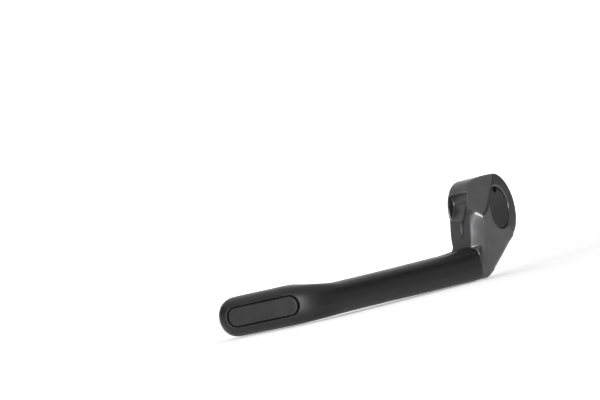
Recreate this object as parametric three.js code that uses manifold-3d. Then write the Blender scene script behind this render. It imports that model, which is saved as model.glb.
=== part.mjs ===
// Bar-end hand-lever guard, left side. Millimetres.
// +X along the handlebar towards the rider's centre line, +Y forward, +Z up.
// The origin is the centre of the hub's inner face, on the handlebar axis.

import * as THREE from "three";
import { ConvexGeometry } from "three/addons/geometries/ConvexGeometry.js";
import { mergeVertices } from "three/addons/utils/BufferGeometryUtils.js";
import Module from "manifold-3d";

// ---------------------------------------------------------------- driving dimensions
const HUB_R = 16.5; // bar-end boss
const HUB_LEN = 19.2;
const HUB_EDGE = 1.3; // rounded rims of the boss
const BOLT_HOLE_R = 6.0;
const BOLT_SEAT_R = 8.6; // pocket for the bolt's head, under the cap
const BOLT_SEAT_DEPTH = 11.0;
const CAP_R = 9.8;
const CAP_GAP = 0.3;
const CAP_SINK = 0.5; // the cap's face sits this far below the outer face
const CAP_T = 2.2;
const CAP_SKIRT_R = 8.2;
const CAP_SKIRT_LEN = 5.4;

const LEG_FALL = 47.9; // degrees the short leg falls below forward
const RIB_D = 12.9; // front of the leg's outer rib, from the bar axis
const RIB_X = 9.2; // the rib's depth from the outer face
const SLOPE_X = 1.9; // width of the slope from rib to panel
const PANEL_D = 10.2; // front of the stepped-back panel beside the rib
const PANEL_END = 1.1; // the panel stops this far short of the inner face
const BEVEL_D = 10.45; // where the broad front bevel meets the outer face
const BEVEL_X = 3.6;

// Below the hub the leg leans inward and back, most on its outer side.
const LEAN = { x: 5.9, y: -11.6, start: 8, end: 28, innerShare: 0.6 };

const ARM_Z = -23.8; // height of the arm's centre line
const JOINT = [-3.6, 16.3]; // the arm's centre at the joint plane, in x and y
const CORNER = [14.4, 121.2]; // where the arm's and the paddle's centre lines meet
const BEND_R = 12.0;
const PADDLE_LEN = 48.4; // corner point to tip
const PADDLE_Z = -22.5;
const PADDLE_H = 8.8; // half height
const PADDLE_T = 8.7; // half thickness

const TONGUE = { len: 22, a: 6.0, b: 4.5 };
const FIT = 0.3;
const SCREW_AT = [6.5, 16.0]; // along the tongue
const SCREW_R = 1.9;
const SCREW_HEAD_R = 3.7;
const BADGE = { len: 37.2, r: 4.15, t: 1.5, gap: 0.3, x: 35.8 };

const rad = THREE.MathUtils.degToRad;
const V = (x, y, z) => new THREE.Vector3(x, y, z);

// ---------------------------------------------------------------- mesh helpers
const wasm = await Module();
wasm.setup();

function toManifold(geometry) {
  const bare = new THREE.BufferGeometry();
  bare.setAttribute("position", geometry.getAttribute("position").clone());
  if (geometry.index) bare.setIndex(geometry.index.clone());
  const merged = mergeVertices(bare, 1e-4);
  return new wasm.Manifold(
    new wasm.Mesh({
      numProp: 3,
      vertProperties: new Float32Array(merged.getAttribute("position").array),
      triVerts: new Uint32Array(merged.index.array),
    }),
  );
}

function toGeometry(solid) {
  const mesh = solid.getMesh();
  const geometry = new THREE.BufferGeometry();
  geometry.setAttribute("position", new THREE.BufferAttribute(new Float32Array(mesh.vertProperties), 3));
  geometry.setIndex(new THREE.BufferAttribute(new Uint32Array(mesh.triVerts), 1));
  return geometry;
}

// A closed skin over rings of equal count, with a fan over each end.
function loft(rings) {
  const n = rings[0].length;
  const points = rings.flat();
  const faces = [];
  for (let r = 0; r + 1 < rings.length; r++) {
    for (let i = 0; i < n; i++) {
      const a = r * n + i;
      const b = r * n + ((i + 1) % n);
      faces.push(a, b, b + n, a, b + n, a + n);
    }
  }
  const cap = (ring, base, flip) => {
    const centre = ring.reduce((s, p) => s.add(p), V(0, 0, 0)).multiplyScalar(1 / n);
    points.push(centre);
    for (let i = 0; i < n; i++) {
      const a = base + i;
      const b = base + ((i + 1) % n);
      faces.push(...(flip ? [points.length - 1, b, a] : [points.length - 1, a, b]));
    }
  };
  cap(rings[0], 0, true);
  cap(rings[rings.length - 1], (rings.length - 1) * n, false);
  let volume = 0;
  for (let f = 0; f < faces.length; f += 3) {
    const [a, b, c] = [points[faces[f]], points[faces[f + 1]], points[faces[f + 2]]];
    volume += a.dot(b.clone().cross(c));
  }
  if (volume < 0) {
    for (let f = 0; f < faces.length; f += 3) [faces[f + 1], faces[f + 2]] = [faces[f + 2], faces[f + 1]];
  }
  const geometry = new THREE.BufferGeometry();
  geometry.setAttribute("position", new THREE.Float32BufferAttribute(points.flatMap((p) => p.toArray()), 3));
  geometry.setIndex(faces);
  return geometry;
}

const solidLoft = (rings) => toManifold(loft(rings));

// A turned body between two points: profile entries are [distance along, radius].
function turned(from, to, profile, segments = 48) {
  const axis = to.clone().sub(from).normalize();
  const u = Math.abs(axis.z) < 0.9 ? V(0, 0, 1).cross(axis).normalize() : V(1, 0, 0);
  const w = axis.clone().cross(u);
  return solidLoft(
    profile.map(([t, r]) =>
      Array.from({ length: segments }, (_, i) => {
        const q = (2 * Math.PI * i) / segments;
        return from
          .clone()
          .addScaledVector(axis, t)
          .addScaledVector(u, r * Math.cos(q))
          .addScaledVector(w, r * Math.sin(q));
      }),
    ),
  );
}

const rod = (from, to, r, segments = 40) =>
  turned(from, to, [[0, r], [from.distanceTo(to), r]], segments);

// A convex prism along X through [y, z] corners, with its own corners for each end.
const prism = (stations) =>
  toManifold(new ConvexGeometry(stations.flatMap(([x, corners]) => corners.map(([y, z]) => V(x, y, z)))));

// A rounded-rectangle ring about a centre, in the plane of u and w.
function roundRing(centre, u, w, a, b, power = 3, count = 40) {
  return Array.from({ length: count }, (_, i) => {
    const q = (2 * Math.PI * (i + 0.5)) / count;
    const c = Math.cos(q);
    const s = Math.sin(q);
    return centre
      .clone()
      .addScaledVector(u, a * Math.sign(c) * Math.abs(c) ** (2 / power))
      .addScaledVector(w, b * Math.sign(s) * Math.abs(s) ** (2 / power));
  });
}

// ---------------------------------------------------------------- construction lines
const X_OUT = -HUB_LEN;
const legE = [Math.cos(rad(LEG_FALL)), -Math.sin(rad(LEG_FALL))]; // down the leg, in [y, z]
const legN = [-legE[1], legE[0]]; // out of the leg's front
const leg = (d, s) => [d * legN[0] + s * legE[0], d * legN[1] + s * legE[1]];

const UP = V(0, 0, 1);
const seamCentre = V(JOINT[0], JOINT[1], ARM_Z);
const corner = V(CORNER[0], CORNER[1], ARM_Z);
const armDir = corner.clone().sub(seamCentre).normalize();
const armSide = V(armDir.y, -armDir.x, 0); // towards the rider's side of the arm
const ARM_LEN = corner.distanceTo(seamCentre);
const ARM_TURN = Math.atan2(armDir.y, armDir.x); // the bend, from the arm into the paddle

// A point of the leg, moved by the lean.
function lean(x, y, z) {
  const s = y * legE[0] + z * legE[1];
  const down = THREE.MathUtils.clamp((s - LEAN.start) / (LEAN.end - LEAN.start), 0, 1);
  const share = down * (1 - (1 - LEAN.innerShare) * ((x - X_OUT) / HUB_LEN));
  return V(x + LEAN.x * share, y + LEAN.y * share, z);
}

// Sections of the arm at and after the joint plane: distance, half width, half height, centre height, power.
const SEAM_SECTION = { a: 9.6, b: 8.1, z: ARM_Z + 0.4, power: 3.4 };
const ARM_SECTIONS = [
  [FIT, 9.6, 8.1, ARM_Z + 0.4, 3.4],
  [5, 9.5, 7.9, ARM_Z + 0.3, 3.3],
  [12, 9.3, 7.6, ARM_Z + 0.1, 3.2],
  [34, 9.0, 7.4, ARM_Z, 3.2],
  [60, 8.7, 7.1, ARM_Z, 3.2],
  [ARM_LEN - 20, 8.7, 6.9, ARM_Z, 3.1],
];

// ---------------------------------------------------------------- bar-end adapter
function buildAdapter() {
  const e = HUB_EDGE;
  const boss = turned(V(X_OUT, 0, 0), V(0, 0, 0), [
    [0, HUB_R - 1.9],
    [0.5, HUB_R - 1.1],
    [1.9, HUB_R],
    [HUB_LEN - e, HUB_R],
    [HUB_LEN - 0.35 * e, HUB_R - 0.35 * e],
    [HUB_LEN, HUB_R - e],
  ], 72);

  // A slab of solid on the far side of a plane.
  const far = 120;
  const slab = (point, normal) => {
    const box = new THREE.BoxGeometry(far, far, far);
    const turn = new THREE.Quaternion().setFromUnitVectors(UP, normal.clone().normalize());
    box.applyQuaternion(turn);
    const at = point.clone().addScaledVector(normal.clone().normalize(), far / 2);
    box.translate(at.x, at.y, at.z);
    return toManifold(box);
  };

  // Broad front bevel of the boss, and the softer slope that carries it into the round.
  const bevelPlane = (x0, d0, x1, d1) => {
    const run = V(x1 - x0, (d1 - d0) * legN[0], (d1 - d0) * legN[1]);
    const normal = run.cross(V(0, legE[0], legE[1])).normalize();
    if (normal.y * legN[0] + normal.z * legN[1] < 0) normal.negate();
    return slab(V(X_OUT + x0, d0 * legN[0], d0 * legN[1]), normal);
  };
  let body = boss
    .subtract(bevelPlane(0, BEVEL_D, BEVEL_X, RIB_D))
    .subtract(bevelPlane(BEVEL_X, RIB_D, 8.6, HUB_R));

  // The stepped-back scoop between rib and inner rim, hollowed into the boss with a round root.
  const scoopRing = (x, lift) => {
    const r = 6.3;
    const arc = Array.from({ length: 9 }, (_, i) => {
      const q = (Math.PI / 2) * (i / 8);
      return leg(PANEL_D + r + lift - r * Math.sin(q), 7.0 - r * Math.cos(q));
    });
    const outline = [leg(40, 0.7), ...arc, leg(PANEL_D + lift, 60), leg(40, 60)];
    return outline.map(([y, z]) => V(x, y, z));
  };
  body = body.subtract(solidLoft([
    scoopRing(X_OUT + RIB_X - 0.4, RIB_D - PANEL_D),
    scoopRing(X_OUT + RIB_X + 0.7, 0.7),
    scoopRing(X_OUT + RIB_X + SLOPE_X, 0),
    scoopRing(-PANEL_END, 0),
  ]));

  // The leg: outlines shared by rib, slope and panel except for their fronts.
  const backN = [-0.507, -0.862];
  const backTangent = [backN[0] * HUB_R, backN[1] * HUB_R];
  const heel = [16.0, -28.4];
  const sole = [24.0, -31.3];
  const outline = (front, inset, toe) => [
    leg(front, -4),
    leg(front, LEAN.start),
    leg(front, 27.5),
    toe,
    [sole[0], sole[1] + inset],
    [heel[0] - backN[0] * inset, heel[1] - backN[1] * inset],
    [backTangent[0] - backN[0] * inset, backTangent[1] - backN[1] * inset],
  ];
  const leaned = (stations) =>
    toManifold(new ConvexGeometry(stations.flatMap(([x, corners]) => corners.map(([y, z]) => lean(x, y, z)))));
  const ribInset = 1.9;
  const ribBody = leaned([
    [X_OUT, [leg(BEVEL_D, -4), leg(BEVEL_D, LEAN.start), leg(BEVEL_D, 27.2), [18.8, -27.0], [-7.4, -12.6]]],
    [X_OUT + ribInset, outline(RIB_D - (BEVEL_X - ribInset) * 0.68, 0, [26.8, -18])],
    [X_OUT + BEVEL_X, outline(RIB_D, 0, [27.4, -18])],
    [X_OUT + RIB_X, outline(RIB_D, 0, [27.4, -18])],
  ]);
  const slopeBody = leaned([
    [X_OUT + RIB_X - 0.5, outline(RIB_D, 0, [26.4, -19])],
    [X_OUT + RIB_X + SLOPE_X, outline(PANEL_D, 0, [25.6, -20])],
  ]);
  const panelBody = leaned([
    [X_OUT + RIB_X + 1, outline(PANEL_D, 0, [25.6, -20])],
    [-PANEL_END, outline(PANEL_D, 0, [25.6, -20])],
  ]);

  // The elbow gathers the leg into the arm's section at the joint plane.
  const seamRing = roundRing(
    seamCentre.clone().setZ(SEAM_SECTION.z), armSide, UP, SEAM_SECTION.a, SEAM_SECTION.b, SEAM_SECTION.power,
  );
  const elbow = toManifold(new ConvexGeometry([
    ...seamRing,
    lean(X_OUT, 25.6, -14.4),
    lean(X_OUT, 18.8, -27.0),
    lean(X_OUT + ribInset, ...heel),
    lean(X_OUT + BEVEL_X, 27.0, -15.2),
    lean(X_OUT + 1.4, ...sole),
    lean(-PANEL_END - 1.5, ...sole),
    lean(-PANEL_END, ...heel),
    lean(-PANEL_END, 24.6, -15.5),
    V(-PANEL_END, 9, -10),
  ]));
  body = body.add(ribBody).add(slopeBody).add(panelBody).add(elbow);
  // Nothing of the elbow passes the joint plane.
  body = body.subtract(slab(seamCentre, armDir));

  // Tongue that carries the arm.
  const tongueAt = (t, a, b) => roundRing(seamCentre.clone().addScaledVector(armDir, t), armSide, UP, a, b, 6, 24);
  body = body.add(solidLoft([
    tongueAt(-6, TONGUE.a, TONGUE.b),
    tongueAt(TONGUE.len - 1, TONGUE.a, TONGUE.b),
    tongueAt(TONGUE.len, TONGUE.a - 1, TONGUE.b - 1),
  ]));
  for (const t of SCREW_AT) {
    const p = seamCentre.clone().addScaledVector(armDir, t);
    body = body.subtract(rod(V(p.x, p.y, ARM_Z - TONGUE.b + 1.2), V(p.x, p.y, ARM_Z + 9), SCREW_R + 0.2, 20));
  }

  // Bolt hole, head pocket and cap seat.
  const axisPoint = (x) => V(x, 0, 0);
  body = body
    .subtract(rod(axisPoint(X_OUT - 1), axisPoint(1), BOLT_HOLE_R, 48))
    .subtract(rod(axisPoint(X_OUT - 1), axisPoint(X_OUT + BOLT_SEAT_DEPTH), BOLT_SEAT_R, 56))
    .subtract(rod(axisPoint(X_OUT - 1), axisPoint(X_OUT + CAP_SINK + CAP_T + 0.3), CAP_R + CAP_GAP, 64));

  // Curved index slot in the inner face, joined to the bolt hole by one notch.
  const slotMid = 42;
  const slotHalf = 88;
  const slotR = [8.25, 10.25];
  const mid = (slotR[0] + slotR[1]) / 2;
  const halfW = (slotR[1] - slotR[0]) / 2;
  const depth = 4.0;
  const steps = 36;
  const section = (q) =>
    [[-depth, slotR[0]], [-depth, slotR[1]], [1, slotR[1]], [1, slotR[0]]].map(([x, r]) => V(x, r * Math.cos(q), r * Math.sin(q)));
  const arcs = [
    solidLoft(Array.from({ length: steps + 1 }, (_, i) => section(rad(slotMid - slotHalf + (2 * slotHalf * i) / steps)))),
  ];
  for (const side of [-1, 1]) {
    const q = rad(slotMid + side * slotHalf);
    const c = [mid * Math.cos(q), mid * Math.sin(q)];
    arcs.push(rod(V(-depth, ...c), V(1, ...c), halfW, 20));
  }
  const notchQ = rad(14);
  const notchW = 2.0;
  const corners = [[3, -notchW], [mid, -notchW], [mid, notchW], [3, notchW]].map(([r, t]) => [
    r * Math.cos(notchQ) - t * Math.sin(notchQ),
    r * Math.sin(notchQ) + t * Math.cos(notchQ),
  ]);
  arcs.push(prism([[-depth, corners], [1, corners]]));
  return body.subtract(arcs.reduce((all, piece) => all.add(piece)));
}

// ---------------------------------------------------------------- guard arm
function armRings() {
  const rings = [];
  const add = (centre, dir, a, b, power) =>
    rings.push(roundRing(centre, V(dir.y, -dir.x, 0), UP, a, b, power, 44));
  for (const [t, a, b, z, power] of ARM_SECTIONS) {
    add(seamCentre.clone().addScaledVector(armDir, t).setZ(z), armDir, a, b, power);
  }
  const turn = ARM_TURN;
  const tangent = BEND_R * Math.tan(turn / 2);
  const start = corner.clone().addScaledVector(armDir, -tangent);
  const centre = start.clone().addScaledVector(armSide, BEND_R);
  const last = ARM_SECTIONS[ARM_SECTIONS.length - 1];
  const steps = 9;
  for (let i = 0; i <= steps; i++) {
    const k = i / steps;
    const ease = k * k * (3 - 2 * k);
    const q = turn * (1 - k); // heading above +X
    const dir = V(Math.cos(q), Math.sin(q), 0);
    const side = V(dir.y, -dir.x, 0);
    const at = centre.clone().addScaledVector(side, -BEND_R);
    at.z = ARM_Z + (PADDLE_Z - ARM_Z) * ease;
    add(at, dir, last[1] + (PADDLE_T + 0.5 - last[1]) * ease, last[2] + (PADDLE_H - last[2]) * ease, 3.1 - 0.3 * ease);
  }
  const along = V(1, 0, 0);
  const place = (t) => V(corner.x + t, corner.y, PADDLE_Z);
  add(place(24), along, PADDLE_T + 0.2, PADDLE_H, 2.8);
  const endStart = PADDLE_LEN - PADDLE_H;
  for (const k of [0, 0.3, 0.52, 0.7, 0.84, 0.93, 0.985]) {
    const s = Math.sqrt(1 - k * k);
    const c = place(endStart + PADDLE_H * k);
    c.y -= 0.9 * (1 - s);
    add(c, along, PADDLE_T * (0.62 + 0.38 * s), PADDLE_H * Math.max(s, 0.06), 2.7);
  }
  return rings;
}

const badgeFace = corner.y + PADDLE_T - 0.35; // front of the badge
const badgeZ = PADDLE_Z;
const fixingX = BADGE.x - 3; // the badge's stud and its fixing screw

// A stadium lying in the XZ plane, from y0 to y1.
function stadium(halfLen, r, y0, y1, cx, cz) {
  const ring = (y) => {
    const points = [];
    for (const side of [1, -1]) {
      for (let i = 0; i <= 14; i++) {
        const q = -Math.PI / 2 + (Math.PI * i) / 14;
        points.push(V(cx + side * (halfLen - r) + side * r * Math.cos(q), y, cz + side * r * Math.sin(q)));
      }
    }
    return points;
  };
  return [ring(y0), ring(y1)];
}

function buildArm() {
  let body = solidLoft(armRings());
  const at = (t, a, b, power) =>
    roundRing(seamCentre.clone().addScaledVector(armDir, t), armSide, UP, a, b, power, 24);
  // Socket for the tongue, then the moulded core that keeps the walls even.
  body = body.subtract(solidLoft([
    at(-3, TONGUE.a + FIT, TONGUE.b + FIT, 6),
    at(TONGUE.len + 0.5, TONGUE.a + FIT, TONGUE.b + FIT, 6),
  ]));
  body = body.subtract(solidLoft([at(TONGUE.len - 1, 5.4, 3.9, 4), at(ARM_LEN - 26, 4.9, 3.5, 4)]));
  for (const t of SCREW_AT) {
    const p = seamCentre.clone().addScaledVector(armDir, t);
    const top = ARM_Z + 7.75;
    body = body
      .subtract(rod(V(p.x, p.y, ARM_Z), V(p.x, p.y, top + 3), SCREW_R + 0.3, 24))
      .subtract(turned(V(p.x, p.y, top - 2.9), V(p.x, p.y, top + 3), [[0, SCREW_R + 0.3], [2.1, SCREW_HEAD_R + 0.3], [5.9, SCREW_HEAD_R + 0.3]], 28));
  }
  const front = corner.y + PADDLE_T;
  const [n0, n1] = stadium(BADGE.len / 2 + BADGE.gap, BADGE.r + BADGE.gap, badgeFace - BADGE.t - 0.3, front + 4, BADGE.x, badgeZ);
  body = body.subtract(solidLoft([n0, n1]));
  // Through hole for the badge's stud, with a countersunk mouth at the back.
  const back = corner.y - PADDLE_T - 0.2;
  body = body
    .subtract(rod(V(fixingX, back - 2, badgeZ), V(fixingX, front, badgeZ), 1.75, 24))
    .subtract(turned(V(fixingX, back - 2, badgeZ), V(fixingX, back + 1.4, badgeZ), [[0, 2.0], [2.2, 2.0], [3.4, 1.7]], 24));
  return body;
}

// ---------------------------------------------------------------- small pieces
function buildCap() {
  const face = X_OUT + CAP_SINK;
  let body = turned(V(face, 0, 0), V(face + CAP_SKIRT_LEN, 0, 0), [
    [0, CAP_R - 0.35],
    [0.35, CAP_R],
    [CAP_T, CAP_R],
    [CAP_T, CAP_SKIRT_R],
    [3.3, CAP_SKIRT_R],
    [3.3, CAP_SKIRT_R - 0.7],
    [4.6, CAP_SKIRT_R - 0.7],
    [4.6, CAP_SKIRT_R],
    [CAP_SKIRT_LEN, CAP_SKIRT_R - 0.3],
  ], 64);
  body = body.subtract(rod(V(face + 1.6, 0, 0), V(face + 9, 0, 0), 6.4, 40));
  // Pry notch at the rim: a round hole with a short cross slot.
  const q = rad(93);
  const c = [(CAP_R - 1.1) * Math.cos(q), (CAP_R - 1.1) * Math.sin(q)];
  body = body.subtract(rod(V(face - 1, ...c), V(face + 1.5, ...c), 1.5, 24));
  const bar = [[-2.1, -0.6], [2.1, -0.6], [2.1, 0.6], [-2.1, 0.6]].map(([u, w]) => [c[0] + u, c[1] + w]);
  return body.subtract(prism([[face - 1, bar], [face + 1.5, bar]]));
}

function buildCapRing() {
  // Cord of rubber in the skirt's groove: round in section.
  const x = X_OUT + CAP_SINK + 3.95;
  const r = 0.45;
  const R0 = CAP_SKIRT_R - 0.15;
  const rings = Array.from({ length: 56 }, (_, i) => {
    const q = (2 * Math.PI * i) / 56;
    return Array.from({ length: 12 }, (_, j) => {
      const p = (2 * Math.PI * j) / 12;
      const rr = R0 + r * Math.cos(p);
      return V(x + r * Math.sin(p), rr * Math.cos(q), rr * Math.sin(q));
    });
  });
  const points = rings.flat();
  const faces = [];
  for (let i = 0; i < 56; i++) {
    for (let j = 0; j < 12; j++) {
      const a = i * 12 + j;
      const b = i * 12 + ((j + 1) % 12);
      const c = ((i + 1) % 56) * 12 + ((j + 1) % 12);
      const d = ((i + 1) % 56) * 12 + j;
      faces.push(a, c, b, a, d, c);
    }
  }
  const geometry = new THREE.BufferGeometry();
  geometry.setAttribute("position", new THREE.Float32BufferAttribute(points.flatMap((p) => p.toArray()), 3));
  geometry.setIndex(faces);
  const solid = toManifold(geometry);
  return solid;
}

function buildArmScrew(t) {
  const p = seamCentre.clone().addScaledVector(armDir, t);
  const top = ARM_Z + 7.45;
  const low = ARM_Z - TONGUE.b + 1.8;
  let body = turned(V(p.x, p.y, low), V(p.x, p.y, top), [
    [0, SCREW_R - 0.4],
    [0.5, SCREW_R],
    [top - low - 2.3, SCREW_R],
    [top - low - 0.35, SCREW_HEAD_R],
    [top - low, SCREW_HEAD_R],
  ], 28);
  const hex = Array.from({ length: 6 }, (_, i) => V(p.x + 1.35 * Math.cos((i * Math.PI) / 3), p.y + 1.35 * Math.sin((i * Math.PI) / 3), 0));
  return body.subtract(solidLoft([hex.map((v) => v.clone().setZ(top - 1.6)), hex.map((v) => v.clone().setZ(top + 1))]));
}

function buildBadge() {
  const [r0, r1] = stadium(BADGE.len / 2, BADGE.r, badgeFace - BADGE.t, badgeFace - 0.3, BADGE.x, badgeZ);
  const [, r2] = stadium(BADGE.len / 2 - 0.3, BADGE.r - 0.3, 0, badgeFace, BADGE.x, badgeZ);
  let body = solidLoft([r0, r1, r2]);
  // Stud behind it, tapped for the fixing screw.
  const studEnd = corner.y + 0.6;
  body = body.add(rod(V(fixingX, studEnd, badgeZ), V(fixingX, badgeFace - 0.8, badgeZ), 1.5, 24));
  return body.subtract(rod(V(fixingX, studEnd - 1, badgeZ), V(fixingX, badgeFace - 1.0, badgeZ), 0.95, 20));
}

function buildBadgeScrew() {
  const y0 = corner.y - PADDLE_T + 1.2;
  const y1 = corner.y + PADDLE_T - 2.6;
  let body = turned(V(fixingX, y0, badgeZ), V(fixingX, y1, badgeZ), [
    [0, 1.25], [0.25, 1.45], [corner.y + 0.3 - y0, 1.45], [corner.y + 0.3 - y0, 0.8], [y1 - y0, 0.8],
  ], 24);
  const hex = Array.from({ length: 6 }, (_, i) => V(fixingX + 0.75 * Math.cos((i * Math.PI) / 3), 0, badgeZ + 0.75 * Math.sin((i * Math.PI) / 3)));
  const at = (y) => hex.map((v) => v.clone().setY(y));
  return body.subtract(solidLoft([at(y0 - 1), at(y0 + 1.3)]));
}

// ---------------------------------------------------------------- assembly
const group = new THREE.Group();
group.name = "bar_end_lever_guard";

function node(name, solid, color, metalness, roughness) {
  const geometry = toGeometry(solid);
  geometry.computeVertexNormals();
  const mesh = new THREE.Mesh(geometry, new THREE.MeshStandardMaterial({ color, metalness, roughness }));
  mesh.name = name;
  group.add(mesh);
}

node("bar_end_adapter", buildAdapter(), 0x3c3d3f, 0.6, 0.42);
node("guard_arm", buildArm(), 0x232425, 0.0, 0.62);
node("hub_cover_cap", buildCap(), 0x2b2c2d, 0.0, 0.55);
node("cap_retaining_ring", buildCapRing(), 0x151515, 0.0, 0.8);
node("arm_fixing_screw_near", buildArmScrew(SCREW_AT[0]), 0x5a5a5c, 0.9, 0.35);
node("arm_fixing_screw_far", buildArmScrew(SCREW_AT[1]), 0x5a5a5c, 0.9, 0.35);
node("paddle_badge", buildBadge(), 0x303133, 0.0, 0.6);
node("badge_fixing_screw", buildBadgeScrew(), 0x6a6a6c, 0.9, 0.35);

export default group;
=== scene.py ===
"""Looks of a left bar-end hand-lever guard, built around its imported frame.

The guard is a metal hub with a short leaning leg, a moulded arm with an inward paddle, a
pull-off cap with its rubber ring, an inset pad and three small screws. Shapes are worked out
in millimetres as distance fields, skinned, and put into metres in the frame's own axes:
+X along the handlebar towards the rider, +Y forward, +Z up, with the origin at the centre of
the hub's inner face.
"""

import logging
import math
from dataclasses import dataclass
from enum import Enum
from typing import Sequence

import bmesh
import bpy
import numpy as np
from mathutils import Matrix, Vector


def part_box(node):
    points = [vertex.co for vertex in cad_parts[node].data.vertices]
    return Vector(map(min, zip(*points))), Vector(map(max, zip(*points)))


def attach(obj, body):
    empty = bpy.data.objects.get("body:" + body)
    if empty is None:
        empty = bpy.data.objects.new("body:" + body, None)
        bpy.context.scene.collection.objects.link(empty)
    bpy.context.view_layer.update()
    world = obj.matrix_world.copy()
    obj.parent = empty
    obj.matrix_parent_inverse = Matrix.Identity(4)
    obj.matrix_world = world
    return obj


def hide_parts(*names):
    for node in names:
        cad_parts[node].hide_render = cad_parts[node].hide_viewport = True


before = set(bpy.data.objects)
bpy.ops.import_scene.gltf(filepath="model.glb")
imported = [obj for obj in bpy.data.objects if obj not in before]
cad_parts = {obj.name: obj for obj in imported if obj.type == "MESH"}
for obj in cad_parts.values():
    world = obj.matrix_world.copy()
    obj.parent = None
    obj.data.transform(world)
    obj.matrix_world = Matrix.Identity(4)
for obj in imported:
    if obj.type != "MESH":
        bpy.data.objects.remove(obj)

import openvdb
from mathutils import Matrix, Vector

log = logging.getLogger("guard")

MM = 0.001
Array = np.ndarray
Point = tuple[float, float, float]


class Body(Enum):
    """The two bodies of the frame."""

    GUARD = "guard"
    CAP = "cap"


# ---------------------------------------------------------------- fields
def rounded_and(radius: float, *fields: Array) -> Array:
    """Keeps what lies inside every field, with rounded outer edges.

    Args:
        radius: Edge radius in millimetres.
        fields: Distance fields, negative inside.

    Returns:
        The combined field.
    """
    whole = fields[0]
    for other in fields[1:]:
        deep = np.minimum(-radius, np.maximum(whole, other))
        whole = deep + np.hypot(np.maximum(whole + radius, 0), np.maximum(other + radius, 0))
    return whole


def rounded_or(radius: float, *fields: Array) -> Array:
    """Joins fields, with a fillet of the given radius in each inner corner.

    Args:
        radius: Fillet radius in millimetres.
        fields: Distance fields, negative inside.

    Returns:
        The combined field.
    """
    return -rounded_and(radius, *[-one for one in fields])


def cut(whole: Array, tool: Array, radius: float) -> Array:
    """Takes a tool's space out of a field and rounds the rim.

    Args:
        whole: Field that is cut.
        tool: Field of the removed space.
        radius: Radius of the cut's rim in millimetres.

    Returns:
        The field that is left.
    """
    return rounded_and(radius, whole, -tool)


def superellipse(u: Array, w: Array, a: Array, b: Array, power: Array) -> Array:
    """A rounded-rectangle section.

    Args:
        u: Offsets across the section.
        w: Heights in the section.
        a: Half width.
        b: Half height.
        power: 2 is an ellipse, and more is squarer.

    Returns:
        A field close to a distance near the surface.
    """
    reach = (np.abs(u / a) ** power + np.abs(w / b) ** power) ** (1 / power)
    return (reach - 1) * np.minimum(a, b)


class Grid:
    """A box of sample points in millimetres, and the skin of a field on it."""

    def __init__(self, low: Point, high: Point, step: float) -> None:
        """Lays out the samples from the low to the high corner."""
        self.low = np.array(low, np.float32)
        self.step = step
        lines = [np.arange(a, b + step, step, dtype=np.float32) for a, b in zip(low, high)]
        self.shape = tuple(len(line) for line in lines)
        self.x, self.y, self.z = np.meshgrid(*lines, indexing="ij", sparse=True)

    def skin(self, field: Array, name: str) -> bpy.types.Object:
        """Turns the surface where a field is zero into an object.

        Args:
            field: The field on this grid, negative inside.
            name: The piece's name.

        Returns:
            A smooth-shaded mesh object in metres, at the origin.
        """
        dense = np.array(np.broadcast_to(field, self.shape), dtype=np.float32, order="C")
        volume = openvdb.FloatGrid(background=float(self.step * 3))
        volume.copyFromArray(dense)
        points, quads = volume.convertToQuads(isovalue=0.0)
        points = (points * self.step + self.low) * MM
        if mesh_volume(points, quads) < 0:
            quads = quads[:, ::-1]
        mesh = bpy.data.meshes.new(name)
        mesh.from_pydata(points.tolist(), [], quads.tolist())
        mesh.polygons.foreach_set("use_smooth", np.ones(len(mesh.polygons), bool))
        mesh.update()
        piece = bpy.data.objects.new(name, mesh)
        bpy.context.scene.collection.objects.link(piece)
        mark_edges(mesh)
        return piece


def mesh_volume(points: Array, quads: Array) -> float:
    """Signed volume inside a closed quad mesh, positive when its faces point outwards."""
    a, b, c, d = (points[quads[:, i]] for i in range(4))
    halves = np.einsum("ij,ij->i", a, np.cross(b, c)) + np.einsum("ij,ij->i", a, np.cross(c, d))
    return float(halves.sum())


def mark_edges(mesh: bpy.types.Mesh) -> None:
    """Writes how convex the surface is at each point to the attribute "edge", from 0 to 1.

    Args:
        mesh: A mesh with even faces.
    """
    count = len(mesh.vertices)
    points = np.empty(count * 3, np.float32)
    normals = np.empty(count * 3, np.float32)
    ends = np.empty(len(mesh.edges) * 2, np.int32)
    mesh.vertices.foreach_get("co", points)
    mesh.vertices.foreach_get("normal", normals)
    mesh.edges.foreach_get("vertices", ends)
    points, normals, ends = points.reshape(-1, 3), normals.reshape(-1, 3), ends.reshape(-1, 2)
    links = np.bincount(ends.ravel(), minlength=count)[:, None].clip(1)

    def neighbours(values: Array) -> Array:
        """Mean of each point's neighbours."""
        total = np.zeros_like(values)
        for here, there in ((0, 1), (1, 0)):
            for k in range(values.shape[1]):
                total[:, k] += np.bincount(ends[:, here], values[ends[:, there], k], count)
        return total / links

    length = np.linalg.norm(points[ends[:, 0]] - points[ends[:, 1]], axis=1).mean()
    bulge = ((points - neighbours(points)) * normals).sum(1, keepdims=True) / length
    for _ in range(3):
        bulge = (bulge + neighbours(bulge)) / 2
    mask = np.clip(bulge[:, 0] * 9.0, 0, 1).astype(np.float32)
    mesh.attributes.new("edge", "FLOAT", "POINT").data.foreach_set("value", mask)


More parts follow.
